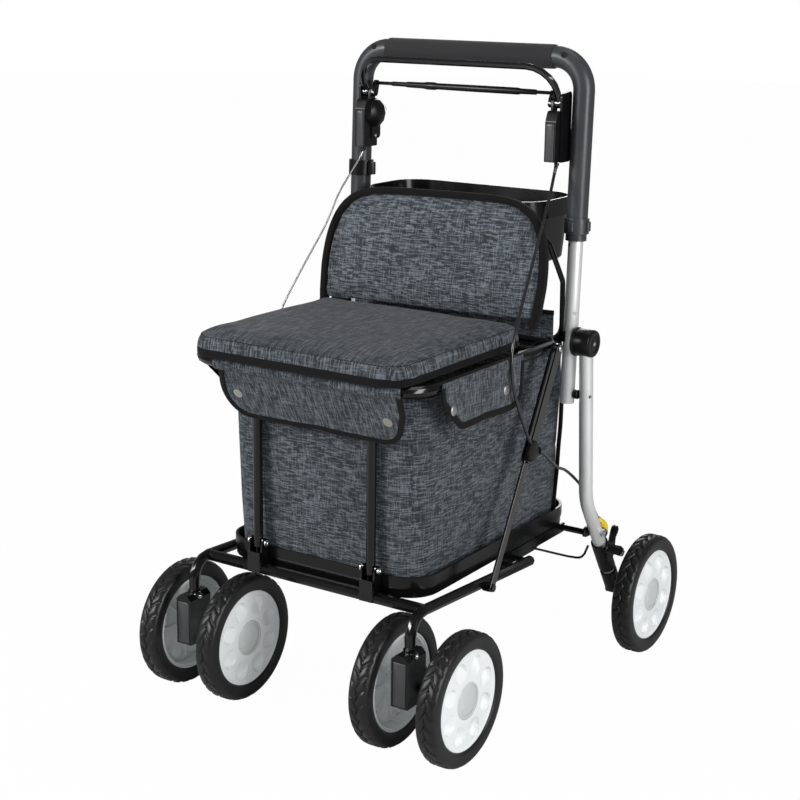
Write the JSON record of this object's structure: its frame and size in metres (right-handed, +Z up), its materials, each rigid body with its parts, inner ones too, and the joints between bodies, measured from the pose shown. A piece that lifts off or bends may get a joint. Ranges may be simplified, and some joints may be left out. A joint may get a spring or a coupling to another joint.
{
  "type": "shopping rollator",
  "caption": "Folding shopping rollator with a padded seat lid over a bag, a backrest with a bin behind it, twin-wheel casters and a bar brake.",
  "frame": {"origin": "on the floor below the middle of the outline box", "axes": "+Z up, the front (seat and casters) faces -Y, the user's handle is at +Y, +X is the right side seen from the front camera"},
  "size_m": [0.5606, 0.66, 0.9028],
  "materials": {
    "black_steel": "gloss black paint",
    "gloss_black": "high gloss black",
    "dark_handle_paint": "matt charcoal paint",
    "grip_foam": "fine foam",
    "satin_aluminium": "satin silver",
    "tyre_foam": "matt dark grey",
    "white_disc": "milky white",
    "melange_fabric": "heather blue-grey weave",
    "cable_sheath": "black sheath",
    "black_plastic": "moulded black"
  },
  "bodies": {
    "base": {"base_frame": "black_steel", "tray": "black_plastic", "bag": "melange_fabric"},
    "caster_right": {"caster_fork_right": "black_steel", "caster_cover_right": "black_plastic"},
    "caster_left": {"caster_fork_left": "black_steel", "caster_cover_left": "black_plastic"},
    "legs": {"leg_right": "satin_aluminium", "leg_left": "satin_aluminium", "upper_tube_right": "satin_aluminium", "upper_tube_left": "satin_aluminium", "leg_knob_right": "black_plastic", "leg_knob_left": "black_plastic", "pivot_bracket_right": "black_steel", "pivot_bracket_left": "black_steel", "brake_mount_right": "black_plastic", "brake_mount_left": "black_plastic", "rear_fork_right": "black_plastic", "rear_fork_left": "black_plastic", "rear_crossbar": "black_steel", "brake_cable_right": "cable_sheath", "brake_cable_left": "cable_sheath"},
    "brake_arm_right": {"brake_arm_right": "black_steel"},
    "brake_arm_left": {"brake_arm_left": "black_steel"},
    "handle": {"handle_tube": "dark_handle_paint", "grip": "grip_foam", "collar_right": "black_plastic", "collar_left": "black_plastic", "brake_housing_right": "black_plastic", "brake_housing_left": "black_plastic", "cane_clamp": "black_plastic"},
    "brake_bar": {"brake_bar": "gloss_black"},
    "parking_bar": {"parking_bar": "black_steel"},
    "posts": {"front_post_right": "black_steel", "front_post_left": "black_steel"},
    "seat": {"seat_frame": "black_steel", "backrest_bow": "black_steel", "backrest": "melange_fabric", "bin": "black_plastic", "front_flap": "melange_fabric", "side_flap_right": "melange_fabric", "side_flap_left": "melange_fabric"},
    "lid": {"seat_cushion": "melange_fabric", "seat_board": "black_plastic"},
    "strut_lower": {"strut_lower_right": "black_steel", "strut_lower_left": "black_steel"},
    "strut_upper": {"strut_upper_right": "black_steel", "strut_upper_left": "black_steel"},
    "wheel_front_right_outer": {"tyre_front_right_outer": "tyre_foam", "wheel_disc_front_right_outer": "white_disc"},
    "wheel_front_right_inner": {"tyre_front_right_inner": "tyre_foam", "wheel_disc_front_right_inner": "white_disc"},
    "wheel_front_left_outer": {"tyre_front_left_outer": "tyre_foam", "wheel_disc_front_left_outer": "white_disc"},
    "wheel_front_left_inner": {"tyre_front_left_inner": "tyre_foam", "wheel_disc_front_left_inner": "white_disc"},
    "wheel_rear_right": {"tyre_rear_right": "tyre_foam", "wheel_disc_rear_right": "white_disc"},
    "wheel_rear_left": {"tyre_rear_left": "tyre_foam", "wheel_disc_rear_left": "white_disc"}
  },
  "joints": [
    {"name": "fold", "type": "hinge", "parent": "base", "child": "legs", "pos_m": [0, 0.1585, 0.1975], "axis": [1, 0, 0], "range_deg": [0, 55], "deforming": ["bag", "brake_cable_right", "brake_cable_left"]},
    {"name": "posts_fold", "type": "hinge", "parent": "base", "child": "posts", "pos_m": [0, -0.247, 0.24], "axis": [1, 0, 0], "range_deg": [0, 53]},
    {"name": "seat_fold", "type": "hinge", "parent": "posts", "child": "seat", "pos_m": [0, -0.247, 0.478], "axis": [1, 0, 0], "range_deg": [-68, 0]},
    {"name": "strut_lower_fold", "type": "hinge", "parent": "base", "child": "strut_lower", "pos_m": [0, -0.1088, 0.1937], "axis": [1, 0, 0], "range_deg": [0, 94]},
    {"name": "strut_upper_fold", "type": "hinge", "parent": "seat", "child": "strut_upper", "pos_m": [0, 0.054, 0.4955], "axis": [1, 0, 0], "range_deg": [-27.5, 0]},
    {"name": "handle_height", "type": "slide", "parent": "legs", "child": "handle", "axis": [0, 0.033, 0.9995], "range_m": [-0.075, 0], "deforming": ["brake_cable_right", "brake_cable_left"]},
    {"name": "lid_hinge", "type": "hinge", "parent": "seat", "child": "lid", "pos_m": [0, 0.01, 0.541], "axis": [1, 0, 0], "range_deg": [-75, 0]},
    {"name": "brake_squeeze", "type": "hinge", "parent": "handle", "child": "brake_bar", "pos_m": [0, 0.104, 0.8245], "axis": [-1, 0, 0], "range_deg": [0, 18], "stiffness_Nm_per_rad": 3, "springref_deg": -4.58},
    {"name": "brake_arm_right_swing", "type": "hinge", "parent": "legs", "child": "brake_arm_right", "pos_m": [0.2276, 0.2055, 0.192], "axis": [1, 0, 0], "range_deg": [0, 5.4]},
    {"name": "brake_arm_left_swing", "type": "hinge", "parent": "legs", "child": "brake_arm_left", "pos_m": [-0.2276, 0.2055, 0.192], "axis": [1, 0, 0], "range_deg": [0, 5.4]},
    {"name": "parking_swing", "type": "hinge", "parent": "handle", "child": "parking_bar", "pos_m": [0, 0.104, 0.8245], "axis": [1, 0, 0], "range_deg": [0, 40]},
    {"name": "caster_right_swivel", "type": "hinge", "parent": "base", "child": "caster_right", "pos_m": [0.179, -0.282, 0.1612], "axis": [0, 0, 1], "continuous": true},
    {"name": "caster_left_swivel", "type": "hinge", "parent": "base", "child": "caster_left", "pos_m": [-0.179, -0.282, 0.1612], "axis": [0, 0, 1], "continuous": true},
    {"name": "wheel_front_right_outer_spin", "type": "hinge", "parent": "caster_right", "child": "wheel_front_right_outer", "pos_m": [0.2304, -0.24, 0.09], "axis": [1, 0, 0], "continuous": true},
    {"name": "wheel_front_right_inner_spin", "type": "hinge", "parent": "caster_right", "child": "wheel_front_right_inner", "pos_m": [0.1276, -0.24, 0.09], "axis": [1, 0, 0], "continuous": true},
    {"name": "wheel_front_left_outer_spin", "type": "hinge", "parent": "caster_left", "child": "wheel_front_left_outer", "pos_m": [-0.2304, -0.24, 0.09], "axis": [1, 0, 0], "continuous": true},
    {"name": "wheel_front_left_inner_spin", "type": "hinge", "parent": "caster_left", "child": "wheel_front_left_inner", "pos_m": [-0.1276, -0.24, 0.09], "axis": [1, 0, 0], "continuous": true},
    {"name": "wheel_rear_right_spin", "type": "hinge", "parent": "legs", "child": "wheel_rear_right", "pos_m": [0.265, 0.24, 0.09], "axis": [1, 0, 0], "continuous": true},
    {"name": "wheel_rear_left_spin", "type": "hinge", "parent": "legs", "child": "wheel_rear_left", "pos_m": [-0.265, 0.24, 0.09], "axis": [1, 0, 0], "continuous": true}
  ],
  "couplings": [
    {"joint": "posts_fold", "follows": "fold", "ratio": 0.955},
    {"joint": "seat_fold", "follows": "fold", "ratio": -1.2325},
    {"joint": "strut_lower_fold", "follows": "fold", "ratio": 1.7064},
    {"joint": "strut_upper_fold", "follows": "fold", "ratio": -0.498},
    {"joint": "brake_arm_right_swing", "follows": "brake_squeeze", "ratio": 0.3},
    {"joint": "brake_arm_left_swing", "follows": "brake_squeeze", "ratio": 0.3}
  ]
}
